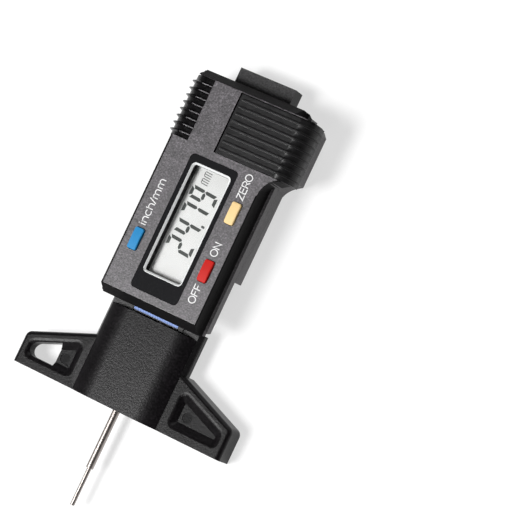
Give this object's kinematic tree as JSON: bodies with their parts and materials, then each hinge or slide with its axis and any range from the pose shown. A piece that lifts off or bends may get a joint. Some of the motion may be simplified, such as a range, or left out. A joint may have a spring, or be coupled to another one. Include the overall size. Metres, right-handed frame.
{
  "type": "depth gauge",
  "caption": "Digital depth gauge: a stepped steel probe slides through a winged measuring base, moved by a display head that rides along a flat beam.",
  "frame": {"origin": "on the measuring face, where the probe's axis crosses it", "axes": "+Y along the beam away from the work (the probe points along -Y), +Z out of the display, +X to the right of the display with the probe pointing down; the gauge lies on its back"},
  "size_m": [0.0598, 0.1117, 0.015],
  "materials": {
    "black_nylon": "fine grained black moulding",
    "grained_shell": "spark-eroded grain, charcoal black",
    "dark_shell": "satin black moulding",
    "gloss_bezel": "gloss black",
    "clear_window": "clear window",
    "display_glass": "reflective display glass",
    "pale_plastic": "natural white plastic",
    "strip_rubber": "layered conductive rubber",
    "black_foam": "closed-cell black foam",
    "green_board": "solder mask",
    "film": "amber film",
    "chip_resin": "black resin",
    "contact_metal": "plated spring metal",
    "blue_scale": "blue solder mask over copper pads",
    "blue_button": "satin blue",
    "red_button": "satin red",
    "yellow_button": "satin yellow",
    "cell_steel": "nickel plated can",
    "spring_steel": "rolled strip",
    "screw_steel": "zinc plated",
    "polished_steel": "ground and polished steel"
  },
  "bodies": {
    "frame": {"foot_beam": "black_nylon", "scale_board": "blue_scale"},
    "head": {"front_shell": "grained_shell", "display_bezel": "gloss_bezel", "window_lens": "clear_window", "lcd_panel": "display_glass", "lcd_frame": "pale_plastic", "contact_strips": "strip_rubber", "display_gasket": "black_foam", "circuit_board": "green_board", "sensor_film": "film", "driver_chip": "chip_resin", "key_domes": "contact_metal", "button_cell": "cell_steel", "negative_contact": "contact_metal", "positive_contact": "contact_metal", "back_cover": "dark_shell", "gib_spring": "spring_steel", "cover_screws": "screw_steel", "board_screws": "screw_steel", "probe_rod": "polished_steel"},
    "unit_key": {"unit_button": "blue_button"},
    "power_key": {"power_button": "red_button"},
    "zero_key": {"zero_button": "yellow_button"},
    "battery_lid": {"battery_cover": "dark_shell"}
  },
  "joints": [
    {"name": "head_slide", "type": "slide", "parent": "frame", "child": "head", "axis": [0, 1, 0], "range_m": [-0.00061, 0.02479]},
    {"name": "unit_press", "type": "slide", "parent": "head", "child": "unit_key", "axis": [0, 0, -1], "range_m": [0, 0.0006], "stiffness_N_per_m": 900},
    {"name": "power_press", "type": "slide", "parent": "head", "child": "power_key", "axis": [0, 0, -1], "range_m": [0, 0.0006], "stiffness_N_per_m": 900},
    {"name": "zero_press", "type": "slide", "parent": "head", "child": "zero_key", "axis": [0, 0, -1], "range_m": [0, 0.0006], "stiffness_N_per_m": 900},
    {"name": "cover_slide", "type": "slide", "parent": "head", "child": "battery_lid", "axis": [1, 0, 0], "range_m": [0, 0.022]}
  ]
}
